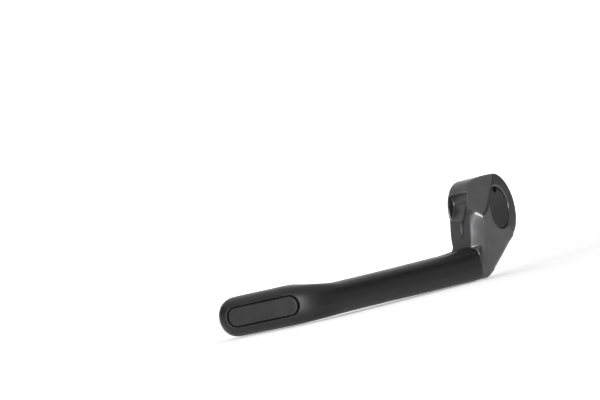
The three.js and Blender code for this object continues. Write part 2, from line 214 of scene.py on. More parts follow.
def hull(grid: Grid, corners: Sequence[Vector], radius: float) -> Array:
    """The field of the convex hull of some corners.

    Args:
        grid: Sample points.
        corners: The corners in millimetres.
        radius: Edge radius.

    Returns:
        The hull's field with rounded edges.
    """
    shape = bmesh.new()
    for corner in corners:
        shape.verts.new(corner)
    bmesh.ops.convex_hull(shape, input=shape.verts)
    middle = sum(corners, Vector()) / len(corners)
    planes: list[tuple[Vector, float]] = []
    shape.normal_update()
    for face in shape.faces:
        normal = face.normal.copy()
        if face.calc_area() < 0.05:
            continue
        if normal.dot(face.verts[0].co - middle) < 0:
            normal.negate()
        reach = normal.dot(face.verts[0].co)
        if all(normal.dot(other) < 0.9995 or abs(reach - far) > 0.15 for other, far in planes):
            planes.append((normal, reach))
    shape.free()
    fields = [normal.x * grid.x + normal.y * grid.y + normal.z * grid.z - reach for normal, reach in planes]
    return rounded_and(radius, *fields)


def disc(grid: Grid, x0: float, x1: float, radius: float, rim: float) -> Array:
    """A round slice on the bar's axis from x0 to x1, with rounded rims."""
    return rounded_and(rim, np.hypot(grid.y, grid.z) - radius, x0 - grid.x, grid.x - x1)


# ---------------------------------------------------------------- shared layout
@dataclass(frozen=True)
class Layout:
    """Driving dimensions that several pieces share, in millimetres and degrees."""

    hub_radius: float = 16.5
    leg_fall: float = 47.9
    joint: Point = (-3.6, 16.3, -23.8)
    corner: Point = (14.4, 121.2, -22.5)
    bend_radius: float = 12.0
    paddle_length: float = 48.4
    paddle_half_height: float = 8.8
    paddle_half_depth: float = 8.7
    fit: float = 0.3

    @property
    def outer(self) -> float:
        """X of the hub's outer face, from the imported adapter."""
        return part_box("bar_end_adapter")[0].x / MM

    @property
    def arm_direction(self) -> Vector:
        """Unit direction of the arm, away from the hub."""
        run = Vector(self.corner) - Vector(self.joint)
        return Vector((run.x, run.y, 0)).normalized()

    @property
    def arm_side(self) -> Vector:
        """Unit direction across the arm, towards the rider."""
        run = self.arm_direction
        return Vector((run.y, -run.x, 0))

    @property
    def pad_face(self) -> float:
        """Y of the inset pad's front."""
        return self.corner[1] + self.paddle_half_depth - 0.35

    def leg_axes(self, y: Array, z: Array) -> tuple[Array, Array]:
        """Distances out of the leg's front and down the leg, for points in a plane across X."""
        fall = math.radians(self.leg_fall)
        return y * math.sin(fall) + z * math.cos(fall), y * math.cos(fall) - z * math.sin(fall)

    def leg_point(self, front: float, down: float) -> tuple[float, float]:
        """The (y, z) of a point given by its distances out of the leg's front and down the leg."""
        fall = math.radians(self.leg_fall)
        return (
            front * math.sin(fall) + down * math.cos(fall),
            front * math.cos(fall) - down * math.sin(fall),
        )


@dataclass(frozen=True)
class Lean:
    """How the leg leans inward and back below the hub."""

    inward: float = 5.9
    back: float = -11.6
    start: float = 8.0
    end: float = 28.0
    inner_share: float = 0.6
    upper_corners: float = 15.0

    def moved(self, layout: Layout, across: float, corner: tuple[float, float]) -> Vector:
        """Leans one corner of the leg. Corners near the hub stay where they are.

        Args:
            layout: Shared dimensions.
            across: Distance inward from the hub's outer face.
            corner: Y and Z of the corner before the lean.

        Returns:
            The corner's place.
        """
        _, down = layout.leg_axes(*corner)
        share = min((down - self.start) / (self.end - self.start), 1) if down > self.upper_corners else 0
        share *= 1 - (1 - self.inner_share) * across / -layout.outer
        return Vector((layout.outer + across + self.inward * share, corner[0] + self.back * share, corner[1]))


# ---------------------------------------------------------------- shader parts
class Effects:
    """Shader node groups that more than one finish uses. Each is built once."""

    _made: dict[str, bpy.types.NodeTree] = {}

    @classmethod
    def _tree(cls, name: str, inputs: dict[str, float], outputs: Sequence[str]) -> bpy.types.NodeTree:
        """Starts a shader group with number inputs and outputs."""
        tree = bpy.data.node_groups.new(name, "ShaderNodeTree")
        for key, value in inputs.items():
            socket = tree.interface.new_socket(name=key, in_out="INPUT", socket_type="NodeSocketFloat")
            socket.default_value = value
        for key in outputs:
            tree.interface.new_socket(name=key, in_out="OUTPUT", socket_type="NodeSocketFloat")
        cls._made[name] = tree
        return tree

    @classmethod
    def grain(cls) -> bpy.types.NodeTree:
        """Fine moulded or blasted grain: a height for bump and a slow mask for roughness.

        Returns:
            The node group, with inputs Size (grains per metre) and Cloud (patches per metre).
        """
        if "surface_grain" in cls._made:
            return cls._made["surface_grain"]
        tree = cls._tree("surface_grain", {"Size": 2600.0, "Cloud": 160.0}, ["Height", "Patches"])
        nodes, links = tree.nodes, tree.links
        start, end = nodes.new("NodeGroupInput"), nodes.new("NodeGroupOutput")
        where = nodes.new("ShaderNodeTexCoord")
        cells = nodes.new("ShaderNodeTexVoronoi")
        cells.feature = "SMOOTH_F1"
        cells.inputs["Smoothness"].default_value = 0.7
        fine = nodes.new("ShaderNodeTexNoise")
        fine.inputs["Detail"].default_value = 3.0
        cloud = nodes.new("ShaderNodeTexNoise")
        cloud.inputs["Detail"].default_value = 4.0
        for texture, source in ((cells, "Size"), (fine, "Size"), (cloud, "Cloud")):
            links.new(where.outputs["Object"], texture.inputs["Vector"])
            links.new(start.outputs[source], texture.inputs["Scale"])
        both = nodes.new("ShaderNodeMath")
        both.operation = "ADD"
        links.new(cells.outputs["Distance"], both.inputs[0])
        links.new(fine.outputs["Fac"], both.inputs[1])
        links.new(both.outputs[0], end.inputs["Height"])
        links.new(cloud.outputs["Fac"], end.inputs["Patches"])
        return tree

    @classmethod
    def wear_and_highlight(cls) -> bpy.types.NodeTree:
        """Rubbed edges with a painted highlight: the "edge" attribute broken up by noise, which lightens
        convex edges.

        Returns:
            The node group, with inputs Amount and Break-up, and the output Mask.
        """
        if "edge_wear_and_highlight" in cls._made:
            return cls._made["edge_wear_and_highlight"]
        tree = cls._tree("edge_wear_and_highlight", {"Amount": 0.6, "Break-up": 900.0}, ["Mask"])
        nodes, links = tree.nodes, tree.links
        start, end = nodes.new("NodeGroupInput"), nodes.new("NodeGroupOutput")
        edge = nodes.new("ShaderNodeAttribute")
        edge.attribute_name = "edge"
        where = nodes.new("ShaderNodeTexCoord")
        noise = nodes.new("ShaderNodeTexNoise")
        noise.inputs["Detail"].default_value = 5.0
        links.new(where.outputs["Object"], noise.inputs["Vector"])
        links.new(start.outputs["Break-up"], noise.inputs["Scale"])
        patchy = nodes.new("ShaderNodeMapRange")
        patchy.inputs["From Min"].default_value = 0.35
        patchy.inputs["From Max"].default_value = 0.75
        links.new(noise.outputs["Fac"], patchy.inputs["Value"])
        product = nodes.new("ShaderNodeMath")
        product.operation = "MULTIPLY"
        amount = nodes.new("ShaderNodeMath")
        amount.operation = "MULTIPLY"
        links.new(edge.outputs["Fac"], product.inputs[0])
        links.new(patchy.outputs["Result"], product.inputs[1])
        links.new(product.outputs[0], amount.inputs[0])
        links.new(start.outputs["Amount"], amount.inputs[1])
        links.new(amount.outputs[0], end.inputs["Mask"])
        return tree


@dataclass(frozen=True)
class Finish:
    """One procedural finish: base and patch colours, gloss, grain, and edge wear that also paints a highlight
    on convex edges.
    """

    name: str
    slot: str
    base: tuple[float, float, float]
    patch: tuple[float, float, float]
    worn_and_highlight: tuple[float, float, float]
    roughness: tuple[float, float]
    grain: float = 2600.0
    cloud: float = 160.0
    relief: float = 0.00002
    wear_and_highlight: float = 0.5
    metallic: float = 0.0
    specular: float = 0.5

    def material(self) -> bpy.types.Material:
        """Builds the material.

        Returns:
            A material that reads Object coordinates and the "edge" attribute.
        """
        made = bpy.data.materials.get(self.name)
        if made:
            return made
        made = bpy.data.materials.new(self.name)
        made.use_nodes = True
        nodes, links = made.node_tree.nodes, made.node_tree.links
        shader = nodes["Principled BSDF"]
        shader.inputs["Metallic"].default_value = self.metallic
        shader.inputs["Specular IOR Level"].default_value = self.specular
        grain = nodes.new("ShaderNodeGroup")
        grain.node_tree = Effects.grain()
        grain.inputs["Size"].default_value = self.grain
        grain.inputs["Cloud"].default_value = self.cloud
        wear_and_highlight = nodes.new("ShaderNodeGroup")
        wear_and_highlight.node_tree = Effects.wear_and_highlight()
        wear_and_highlight.inputs["Amount"].default_value = self.wear_and_highlight

        patches = nodes.new("ShaderNodeMapRange")
        patches.inputs["From Min"].default_value = 0.3
        patches.inputs["From Max"].default_value = 0.7
        links.new(grain.outputs["Patches"], patches.inputs["Value"])
        colour = nodes.new("ShaderNodeMix")
        colour.data_type = "RGBA"
        colour.inputs["A"].default_value = (*self.base, 1)
        colour.inputs["B"].default_value = (*self.patch, 1)
        links.new(patches.outputs["Result"], colour.inputs["Factor"])
        # Convex edges take the worn colour: partly wear, partly a painted highlight along the edges.
        rubbed_and_lit = nodes.new("ShaderNodeMix")
        rubbed_and_lit.data_type = "RGBA"
        rubbed_and_lit.inputs["B"].default_value = (*self.worn_and_highlight, 1)
        links.new(wear_and_highlight.outputs["Mask"], rubbed_and_lit.inputs["Factor"])
        links.new(colour.outputs["Result"], rubbed_and_lit.inputs["A"])
        links.new(rubbed_and_lit.outputs["Result"], shader.inputs["Base Color"])

        gloss = nodes.new("ShaderNodeMapRange")
        gloss.inputs["To Min"].default_value = self.roughness[0]
        gloss.inputs["To Max"].default_value = self.roughness[1]
        links.new(patches.outputs["Result"], gloss.inputs["Value"])
        links.new(gloss.outputs["Result"], shader.inputs["Roughness"])
        bump = nodes.new("ShaderNodeBump")
        bump.inputs["Strength"].default_value = 1.0
        bump.inputs["Distance"].default_value = self.relief
        links.new(grain.outputs["Height"], bump.inputs["Height"])
        links.new(bump.outputs["Normal"], shader.inputs["Normal"])
        return made

    def dress(self, piece: bpy.types.Object) -> None:
        """Puts the finish on a piece."""
        piece.data.materials.clear()
        piece.data.materials.append(self.material())


# The anodising's worn colour lightens its bevel and fold edges: partly wear, partly a painted highlight.
ANODISED = Finish(
    name="satin_black_anodising", slot="adapter", base=(0.085, 0.085, 0.088), patch=(0.1, 0.1, 0.103),
    worn_and_highlight=(0.26, 0.26, 0.26), roughness=(0.32, 0.37), grain=4200, relief=0.000008, wear_and_highlight=0.4, metallic=0.78,
)
MOULDED = Finish(
    name="grained_black_nylon", slot="arm", base=(0.008, 0.008, 0.0083), patch=(0.011, 0.011, 0.0113),
    worn_and_highlight=(0.05, 0.05, 0.05), roughness=(0.38, 0.46), grain=3000, relief=0.00004, wear_and_highlight=0.3, specular=0.34,
)
CAP_FINISH = Finish(
    name="satin_black_cap_moulding", slot="cap", base=(0.014, 0.014, 0.0145), patch=(0.018, 0.018, 0.0185),
    worn_and_highlight=(0.06, 0.06, 0.06), roughness=(0.4, 0.48), grain=3600, relief=0.000016, wear_and_highlight=0.3,
)
RUBBER = Finish(
    name="black_cord_rubber", slot="ring", base=(0.012, 0.012, 0.012), patch=(0.018, 0.018, 0.018),
    worn_and_highlight=(0.03, 0.03, 0.03), roughness=(0.62, 0.75), grain=5000, relief=0.00001, wear_and_highlight=0.0,
)
PAD_FINISH = Finish(
    name="textured_pad", slot="badge", base=(0.011, 0.011, 0.0113), patch=(0.017, 0.017, 0.0175),
    worn_and_highlight=(0.06, 0.06, 0.06), roughness=(0.44, 0.56), grain=1700, relief=0.00012, wear_and_highlight=0.4, specular=0.4,
)
OXIDE = Finish(
    name="black_oxide_steel", slot="screws", base=(0.11, 0.11, 0.112), patch=(0.15, 0.15, 0.152),
    worn_and_highlight=(0.5, 0.5, 0.5), roughness=(0.28, 0.4), grain=5200, relief=0.000006, wear_and_highlight=0.6, metallic=1.0,
)
BRIGHT_OXIDE = Finish(
    name="worn_oxide_steel", slot="badge_screw", base=(0.2, 0.2, 0.2), patch=(0.3, 0.3, 0.3),
    worn_and_highlight=(0.6, 0.6, 0.6), roughness=(0.25, 0.36), grain=5200, relief=0.000006, wear_and_highlight=0.8, metallic=1.0,
)


def place(piece: bpy.types.Object, node: str, body: Body, finish: Finish) -> None:
    """Dresses a piece and ties it to the frame.

    Args:
        piece: The finished mesh object.
        node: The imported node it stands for.
        body: The body it rides on.
        finish: Its surface.
    """
    finish.dress(piece)
    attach(piece, body.value)
    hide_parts(node)
    log.info("%s: %d faces on %s", piece.name, len(piece.data.polygons), body.value)


# ---------------------------------------------------------------- hub and leg
@dataclass
class Adapter:
    """The machined hub, its leg and the tongue inside the arm."""

    layout: Layout
    lean: Lean
    step: float = 0.33
    bolt_hole: float = 6.0
    seat_radius: float = 8.6
    seat_depth: float = 11.0
    cap_radius: float = 10.1
    cap_depth: float = 3.0
    rib_front: float = 12.9
    rib_width: float = 9.2
    slope_width: float = 1.9
    panel_front: float = 10.2
    inner_rim: float = 1.1
    bevel_front: float = 10.45
    bevel_width: float = 3.6
    root_radius: float = 6.3
    fold: float = 11.0
    tangent: tuple[float, float] = (-8.4, -14.2)
    heel: tuple[float, float] = (16.0, -28.4)
    sole: tuple[float, float] = (24.0, -31.3)
    low_edge: tuple[float, float] = (18.8, -27.0)
    tongue: tuple[float, float, float] = (22.0, 6.0, 4.5)
    seam_half_width: float = 9.6
    seam_half_height: float = 8.1
    seam_rise: float = 0.4
    seam_power: float = 3.4
    seam_corners: int = 28

    def sloped(self, x: Array, front: Array, a: tuple[float, float], b: tuple[float, float]) -> Array:
        """A plane along the leg through two points given as (x from the outer face, front)."""
        run = Vector((b[0] - a[0], b[1] - a[1])).normalized()
        return -(x - self.layout.outer - a[0]) * run.y + (front - a[1]) * run.x

    def boss(self, grid: Grid) -> Array:
        """The round hub with its front bevel, its low outer facet and the scoop in its side."""
        layout, outer = self.layout, self.layout.outer
        front, down = layout.leg_axes(grid.y, grid.z)
        radial = np.hypot(grid.y, grid.z)
        bevel = self.sloped(grid.x, front, (0, self.bevel_front), (self.bevel_width, self.rib_front))
        blend = self.sloped(grid.x, front, (self.bevel_width, self.rib_front), (8.6, layout.hub_radius))
        side = rounded_and(1.0, radial - layout.hub_radius, rounded_and(1.6, bevel, blend))
        face = rounded_and(1.5, outer - grid.x, self.outer_facet(grid))
        round_body = rounded_and(0.45, side, face)
        round_body = rounded_and(1.2, round_body, grid.x)
        wall = outer + self.rib_width - 0.4 - grid.x
        slope = -self.sloped(
            grid.x, front, (self.rib_width - 0.4, self.rib_front),
            (self.rib_width + self.slope_width, self.panel_front),
        )
        floor = rounded_and(self.root_radius, self.panel_front - front, 0.7 - down)
        scoop = rounded_and(0.5, floor, wall, slope, grid.x + self.inner_rim)
        return cut(round_body, scoop, 0.45)

    def outer_facet(self, grid: Grid) -> Array:
        """The plane in which the outer face leans inward below the hub."""
        corners = [
            Vector((self.layout.outer, *self.layout.leg_point(self.bevel_front, self.fold))),
            Vector((self.layout.outer, *self.tangent)),
            self.lean.moved(self.layout, 0, self.low_edge),
        ]
        normal = (corners[1] - corners[0]).cross(corners[2] - corners[0]).normalized()
        if normal.x > 0:
            normal.negate()
        return normal.x * grid.x + normal.y * grid.y + normal.z * grid.z - normal.dot(corners[0])

    def block(self, grid: Grid, stations: Sequence[tuple[float, Sequence[tuple[float, float]]]],
              radius: float = 0.8) -> Array:
        """A convex piece of the leg between sections, with its lower corners leaning.

        Args:
            grid: Sample points.
            stations: X from the outer face, and the section's corners as (y, z).
            radius: Edge radius in millimetres.

        Returns:
            The piece's field.
        """
        corners = [self.lean.moved(self.layout, x, corner) for x, section in stations for corner in section]
        return hull(grid, corners, radius)

    def outline(self, front: float, toe: tuple[float, float]) -> list[tuple[float, float]]:
        """Corners of a section across the leg, from the hub round to its back."""
        point = self.layout.leg_point
        return [point(front, -4), point(front, self.fold), point(front, 27.5), toe, self.sole, self.heel,
                self.tangent]

    def leg(self, grid: Grid) -> Array:
        """The leg as rib, slope and panel.

        Returns:
            The leg's field.
        """
        point, bevel = self.layout.leg_point, self.bevel_width
        low_front = (self.rib_front + self.bevel_front) / 2
        rib = self.block(grid, [
            (0, [point(self.bevel_front, -4), point(self.bevel_front, self.fold),
                 point(self.bevel_front, 27.2), self.low_edge, self.tangent]),
            (bevel / 2, self.outline(low_front, (26.8, -18))),
            (bevel, self.outline(self.rib_front, (27.4, -18))),
            (self.rib_width, self.outline(self.rib_front, (27.4, -18))),
        ])
        slope = self.block(grid, [
            (self.rib_width - 0.5, self.outline(self.rib_front, (26.4, -19))),
            (self.rib_width + self.slope_width, self.outline(self.panel_front, (25.6, -20))),
        ])
        panel = self.block(grid, [
            (self.rib_width + 1, self.outline(self.panel_front, (25.6, -20))),
            (-self.layout.outer - self.inner_rim, self.outline(self.panel_front, (25.6, -20))),
        ])
        return rounded_or(0.8, rib, slope, panel)

    def elbow(self, grid: Grid) -> Array:
        """The block that carries the leg into the arm's section at the joint plane."""
        layout = self.layout
        joint, side, power = Vector(layout.joint), layout.arm_side, 2 / self.seam_power
        ring = []
        for k in range(self.seam_corners):
            turn = 2 * math.pi * k / self.seam_corners
            across = self.seam_half_width * math.copysign(abs(math.cos(turn)) ** power, math.cos(turn))
            rise = self.seam_half_height * math.copysign(abs(math.sin(turn)) ** power, math.sin(turn))
            ring.append(joint + side * across + Vector((0, 0, rise + self.seam_rise)))
        inner = -layout.outer - self.inner_rim
        corners = [
            (0, (25.6, -14.4)), (0, self.low_edge), (self.bevel_width / 2, self.heel),
            (self.bevel_width, (27.0, -15.2)), (1.4, self.sole), (inner - 1.5, self.sole),
            (inner, self.heel), (inner, (24.6, -15.5)),
        ]
        leaning = [self.lean.moved(layout, x, corner) for x, corner in corners]
        return hull(grid, [*ring, *leaning, Vector((-self.inner_rim, 9, -10))], 0.5)

    def build(self) -> bpy.types.Object:
        """Builds the adapter.

        Returns:
            Its mesh object.
        """
        layout, outer = self.layout, self.layout.outer
        low, high = (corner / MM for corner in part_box("bar_end_adapter"))
        pad = Vector((1, 1, 1))
        grid = Grid(tuple(low - pad), tuple(high + pad), self.step)
        body = rounded_or(2.2, self.boss(grid), self.leg(grid))
        body = rounded_or(1.0, body, self.elbow(grid))
        along, across = arm_axes(grid, layout)
        body = rounded_and(0.35, body, along)
        length, half_width, half_height = self.tongue
        tongue = rounded_and(
            0.8, superellipse(across, grid.z - layout.joint[2], half_width, half_height, 6.0),
            along - length, -6 - along,
        )
        body = rounded_or(0.4, body, tongue)
        body = cut(body, disc(grid, outer - 5, 5, self.bolt_hole, 0.2), 0.5)
        body = cut(body, disc(grid, outer - 5, outer + self.seat_depth, self.seat_radius, 0.4), 0.3)
        body = cut(body, disc(grid, outer - 5, outer + self.cap_depth, self.cap_radius, 0.2), 0.5)
        body = cut(body, self.index_slot(grid), 0.35)
        return grid.skin(body, "bar_end_adapter_body")

    def index_slot(self, grid: Grid) -> Array:
        """The curved slot in the inner face, and the notch from it to the bolt hole."""
        middle, half, radius, half_width, depth = 42.0, 88.0, 9.25, 1.0, 4.0
        notch_angle, notch_half_width, notch_start = 14.0, 2.0, 3.0
        turn = np.degrees(np.arctan2(grid.z, grid.y)) - middle
        turn = (turn + 180) % 360 - 180
        held = np.radians(np.clip(turn, -half, half) + middle)
        ring = np.hypot(grid.y - radius * np.cos(held), grid.z - radius * np.sin(held)) - half_width
        angle = math.radians(notch_angle)
        out = grid.y * math.cos(angle) + grid.z * math.sin(angle)
        side = -grid.y * math.sin(angle) + grid.z * math.cos(angle)
        notch = rounded_and(0.3, np.abs(side) - notch_half_width, notch_start - out, out - radius)
        return rounded_and(0.2, np.minimum(ring, notch), -depth - grid.x)


def arm_axes(grid: Grid, layout: Layout) -> tuple[Array, Array]:
    """Distances along and across the straight arm from its joint with the leg."""
    run, side = layout.arm_direction, layout.arm_side
    dx, dy = grid.x - layout.joint[0], grid.y - layout.joint[1]
    return dx * run.x + dy * run.y, dx * side.x + dy * side.y


# ---------------------------------------------------------------- moulded arm
@dataclass
class Arm:
    """The moulded arm, its bend and the inward paddle."""

    layout: Layout
    step: float = 0.36
    screw_places: tuple[float, float] = (6.5, 16.0)
    screw_radius: float = 1.9
    head_radius: float = 3.7
    top: float = 7.75
    pad_half: float = 18.9
    pad_pocket: float = 4.45
    pad_x: float = 35.8
    stud_from_middle: float = -3.0
    pad_depth: float = 1.8

    def path(self, grid: Grid) -> tuple[Array, Array, float, float]:
        """Follows the arm's centre line.

        Args:
            grid: Sample points.

        Returns:
            Distance along the line, offset towards the rider's side, the length of the straight
            arm, and the distance at which the paddle's end rounding starts.
        """
        layout = self.layout
        run, side = layout.arm_direction, layout.arm_side
        turn = math.atan2(run.y, run.x)
        tangent = layout.bend_radius * math.tan(turn / 2)
        corner, joint = Vector(layout.corner), Vector(layout.joint)
        straight = (corner - joint).to_2d().length - tangent
        bend = layout.bend_radius * turn
        pivot = Vector((corner.x + tangent, corner.y - layout.bend_radius))
        along, across = arm_axes(grid, layout)
        dx, dy = grid.x - pivot.x, grid.y - pivot.y
        swept = np.clip(np.arctan2(dx * run.x + dy * run.y, -(dx * side.x + dy * side.y)), 0, turn)
        in_bend = (along > straight) & (dx < 0)
        past = (along > straight) & (dx >= 0)
        length = np.where(in_bend, straight + layout.bend_radius * swept, along)
        length = np.where(past, straight + bend + dx, length)
        offset = np.where(in_bend, layout.bend_radius - np.hypot(dx, dy), across)
        offset = np.where(past, corner.y - grid.y + 0 * grid.x, offset)
        end = straight + bend + layout.paddle_length - tangent - layout.paddle_half_height
        return length, offset, straight, end

    def section(self, length: Array, straight: float, end: float) -> tuple[Array, ...]:
        """Half width, half height, centre height and squareness along the arm.

        Args:
            length: Distances along the centre line.
            straight: Length of the straight arm.
            end: Where the paddle's end rounding starts.

        Returns:
            The four measures at each distance.
        """
        low = self.layout.joint[2]
        bend = straight + 17
        stations = np.array([-5, 0, 5, 12, 34, 60, straight - 8, straight, bend, bend + 6, end + 20])
        half_width = [9.6, 9.6, 9.5, 9.3, 9.0, 8.7, 8.7, 8.7, 9.1, 9.0, 8.7]
        half_height = [8.1, 8.1, 7.9, 7.6, 7.4, 7.1, 6.95, 7.0, 8.8, 8.8, 8.8]
        centre = [low + 0.4, low + 0.4, low + 0.3, low + 0.1, low, low, low, low, -22.5, -22.5, -22.5]
        power = [3.4, 3.4, 3.3, 3.2, 3.2, 3.2, 3.1, 3.1, 2.8, 2.8, 2.7]
        fine = np.arange(-5, end + 20, 0.5)
        kernel = np.hanning(19) / np.hanning(19).sum()
        spread = len(kernel) // 2

        def smooth(values: Sequence[float]) -> Array:
            """The measure at each distance, with no kink at its stations."""
            line = np.interp(fine, stations, values)
            line = np.convolve(np.pad(line, spread, mode="edge"), kernel, "valid")
            return np.interp(length, fine, line).astype(np.float32)

        return smooth(half_width), smooth(half_height), smooth(centre), smooth(power)

    def build(self) -> bpy.types.Object:
        """Builds the arm with its socket, screw pockets, pad pocket and rear screw hole.

        Returns:
            Its mesh object.
        """
        layout = self.layout
        low, high = (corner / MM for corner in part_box("guard_arm"))
        pad = Vector((1, 1, 1))
        grid = Grid(tuple(low - pad), tuple(high + pad), self.step)
        length, offset, straight, end = self.path(grid)
        a, b, centre, power = self.section(length, straight, end)
        rounding = np.maximum(length - end, 0)
        height = np.hypot(grid.z - centre, rounding)
        thin = a * (1 - 0.2 * np.clip(rounding / layout.paddle_half_height, 0, 1) ** 2)
        body = superellipse(offset, height, thin, b, power)
        body = rounded_and(0.4, body, layout.fit - length)
        along, across = arm_axes(grid, layout)
        socket = rounded_and(
            0.5, superellipse(across, grid.z - layout.joint[2], 6.3, 4.8, 6.0), along - 22.5, -5 - along,
        )
        body = cut(body, socket, 0.3)
        for station in self.screw_places:
            spot = Vector(layout.joint) + layout.arm_direction * station
            reach = np.hypot(grid.x - spot.x, grid.y - spot.y)
            deep = layout.joint[2] + self.top - 2.9 + 0.6
            countersink = rounded_and(0.3, reach - self.head_radius - 0.3, deep - grid.z)
            shank = rounded_and(0.2, reach - self.screw_radius - 0.3, layout.joint[2] - grid.z)
            body = cut(body, np.minimum(countersink, shank), 0.3)
        body = cut(body, self.pocket(grid), 0.35)
        return grid.skin(self.rear_hole(grid, body), "guard_arm_moulding")

    def pocket(self, grid: Grid) -> Array:
        """The pad's pocket in the paddle's front."""
        layout = self.layout
        reach = np.maximum(np.abs(grid.x - self.pad_x) - (self.pad_half - self.pad_pocket), 0)
        outline = np.hypot(reach, grid.z - layout.corner[2]) - self.pad_pocket
        return rounded_and(0.3, outline, layout.pad_face - self.pad_depth - grid.y)

    def rear_hole(self, grid: Grid, body: Array) -> Array:
        """Cuts the small hole behind the pad's stud, with its flared mouth."""
        layout = self.layout
        reach = np.hypot(grid.x - self.pad_x - self.stud_from_middle, grid.z - layout.corner[2])
        return cut(body, rounded_and(0.2, reach - 1.75, grid.y - layout.pad_face), 0.45)


# ---------------------------------------------------------------- cap
@dataclass
class Cap:
    """The pull-off cap over the bolt's head."""

    layout: Layout
    step: float = 0.17
    radius: float = 9.8
    plate: float = 2.2
    skirt_radius: float = 8.2
    skirt: float = 5.4
    sink: float = 0.5
    crown: float = 0.25
    notch_angle: float = 93.0
    notch_radius: float = 1.45
    notch_depth: float = 1.5

    def build(self) -> bpy.types.Object:
        """Builds the cap with its dished face, skirt, ring groove and pry notch.

        Returns:
            Its mesh object.
        """
        face = self.layout.outer + self.sink
        reach = self.radius + 1
        grid = Grid((face - 1, -reach, -reach), (face + self.skirt + 1, reach, reach), self.step)
        radial = np.hypot(grid.y, grid.z)
        dish = self.crown * np.clip(1 - (radial / (self.radius - 1.2)) ** 2, 0, 1)
        plate = rounded_and(0.35, radial - self.radius, face + dish - grid.x, grid.x - face - self.plate)
        skirt = rounded_and(0.3, radial - self.skirt_radius, face + 1 - grid.x, grid.x - face - self.skirt)
        groove = rounded_and(
            0.15, self.skirt_radius - 0.7 - radial, face + 3.3 - grid.x, grid.x - face - 4.6,
        )
        body = cut(rounded_or(0.3, plate, skirt), groove, 0.12)
        body = cut(body, disc(grid, face + 1.6, face + 9, 6.4, 0.5), 0.3)
        angle = math.radians(self.notch_angle)
        y, z = ((self.radius - 1.1) * part for part in (math.cos(angle), math.sin(angle)))
        hole = np.hypot(grid.y - y, grid.z - z) - self.notch_radius
        bar = np.maximum(np.abs(grid.y - y) - 2.0, np.abs(grid.z - z) - 0.6)
        notch = rounded_and(0.15, np.minimum(hole, bar), grid.x - face - self.notch_depth)
        return grid.skin(cut(body, notch, 0.18), "hub_cover_cap_moulding")


# ---------------------------------------------------------------- pad
@dataclass
class Pad:
    """The inset pad on the paddle's front, with its stud. Its face is plain."""

    arm: Arm
    step: float = 0.2
    radius: float = 3.98
    gap: float = 0.47
    thickness: float = 1.5
    stud_radius: float = 1.5

    def build(self) -> bpy.types.Object:
        """Builds the pad.

        Returns:
            Its mesh object.
        """
        layout, arm = self.arm.layout, self.arm
        face, half = layout.pad_face, arm.pad_half - self.gap
        centre = Vector((arm.pad_x, 0, layout.corner[2]))
        grid = Grid(
            (centre.x - half - 1, layout.corner[1], centre.z - self.radius - 1),
            (centre.x + half + 1, face + 1, centre.z + self.radius + 1), self.step,
        )
        reach = np.maximum(np.abs(grid.x - centre.x) - (half - self.radius), 0)
        across = np.hypot(reach, grid.z - centre.z)
        plate = rounded_and(0.45, across - self.radius, grid.y - face, face - self.thickness - grid.y)
        stud_x = centre.x + arm.stud_from_middle
        radial = np.hypot(grid.x - stud_x, grid.z - centre.z)
        low = layout.corner[1] + 0.6
        stud = rounded_and(0.15, radial - self.stud_radius, low - grid.y, grid.y - face + 0.8)
        body = rounded_or(0.3, plate, stud)
        return grid.skin(cut(body, np.maximum(radial - 0.95, grid.y - face + 1.0), 0.1), "paddle_pad")


